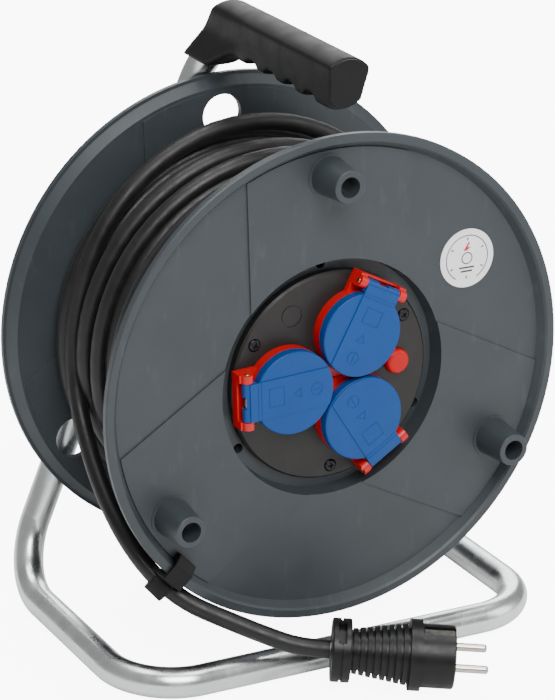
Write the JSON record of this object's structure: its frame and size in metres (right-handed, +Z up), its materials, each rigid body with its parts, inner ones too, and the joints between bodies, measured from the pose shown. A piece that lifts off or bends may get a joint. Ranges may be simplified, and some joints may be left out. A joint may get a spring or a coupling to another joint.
{
  "type": "extension cord reel",
  "caption": "Two-flange cable reel on a bent steel-tube stand, with lidded outlets in the drum face, wound rubber cable, plug and carrying grip.",
  "frame": {"origin": "on the surface the stand rests on, below the middle of the reel's box (cable lead and plug not counted)", "axes": "+X to the right of the outlet face, +Y backwards along the axle, +Z up"},
  "size_m": [0.29, 0.2607, 0.3582],
  "materials": {
    "drum_plastic": "satin anthracite polypropylene",
    "panel_black": "matt black moulded plastic",
    "grip_black": "satin black moulded plastic",
    "socket_red": "satin red moulded plastic",
    "lid_blue": "satin blue moulded plastic",
    "button_red": "satin orange-red plastic",
    "bush_plastic": "natural acetal",
    "label": "printed film",
    "galvanised_steel": "bright galvanised tube",
    "zinc_screw": "zinc plated",
    "black_screw": "black oxide",
    "brass": "plain",
    "nickel": "nickel plated",
    "cable_rubber": "matt black rubber sheath",
    "plug_rubber": "matt black rubber",
    "seal_rubber": "soft seal"
  },
  "bodies": {
    "stand": {"frame_tube": "galvanised_steel", "tube_plug": "grip_black", "crossbar": "galvanised_steel", "frame_bolts": "zinc_screw", "frame_nuts": "zinc_screw", "axle": "galvanised_steel", "axle_washer": "zinc_screw", "axle_bolt": "zinc_screw", "axle_nut": "zinc_screw", "grip": "grip_black", "grip_end_cap": "grip_black"},
    "drum": {"front_flange": "drum_plastic", "rear_flange": "drum_plastic", "drum_core": "drum_plastic", "tie_screws": "zinc_screw", "rear_screws": "zinc_screw", "round_label": "label", "socket_plate": "panel_black", "plate_screws": "black_screw", "pegs": "drum_plastic", "outlet_1": "socket_red", "outlet_2": "socket_red", "outlet_3": "socket_red", "contact_carrier": "panel_black", "live_contacts": "brass", "earth_contacts": "nickel", "breaker": "panel_black", "terminal_block": "panel_black", "inner_lead": "cable_rubber", "core_gland": "panel_black", "hub_bush": "bush_plastic", "hinge_pin_1": "brass", "lid_spring_1": "nickel", "hinge_pin_2": "brass", "lid_spring_2": "nickel", "hinge_pin_3": "brass", "lid_spring_3": "nickel", "cable_winding": "cable_rubber", "cable_lead": "cable_rubber", "cable_clip": "grip_black", "plug_cap": "plug_rubber", "plug_body": "plug_rubber", "plug_pins": "nickel", "plug_earth": "nickel"},
    "button": {"reset_button": "button_red"},
    "lid_1": {"lid_1": "lid_blue", "lid_seal_1": "seal_rubber"},
    "lid_2": {"lid_2": "lid_blue", "lid_seal_2": "seal_rubber"},
    "lid_3": {"lid_3": "lid_blue", "lid_seal_3": "seal_rubber"}
  },
  "joints": [
    {"name": "drum_turn", "type": "hinge", "parent": "stand", "child": "drum", "pos_m": [0, 0.00135, 0.1687], "axis": [0, 1, 0], "continuous": true},
    {"name": "lid_1_hinge", "type": "hinge", "parent": "drum", "child": "lid_1", "pos_m": [0.02615, -0.06975, 0.22002], "axis": [-0.891, 0, 0.454], "range_deg": [0, 110], "stiffness_Nm_per_rad": 0.02, "springref_deg": -34.38},
    {"name": "lid_2_hinge", "type": "hinge", "parent": "drum", "child": "lid_2", "pos_m": [-0.05752, -0.06975, 0.16568], "axis": [0.0523, 0, -0.9986], "range_deg": [0, 110], "stiffness_Nm_per_rad": 0.02, "springref_deg": -34.38},
    {"name": "lid_3_hinge", "type": "hinge", "parent": "drum", "child": "lid_3", "pos_m": [0.03137, -0.06975, 0.12039], "axis": [0.8387, 0, 0.5446], "range_deg": [0, 110], "stiffness_Nm_per_rad": 0.02, "springref_deg": -34.38},
    {"name": "button_press", "type": "slide", "parent": "drum", "child": "button", "axis": [0, 1, 0], "range_m": [0, 0.0025], "stiffness_N_per_m": 400, "springref_m": -0.002}
  ]
}
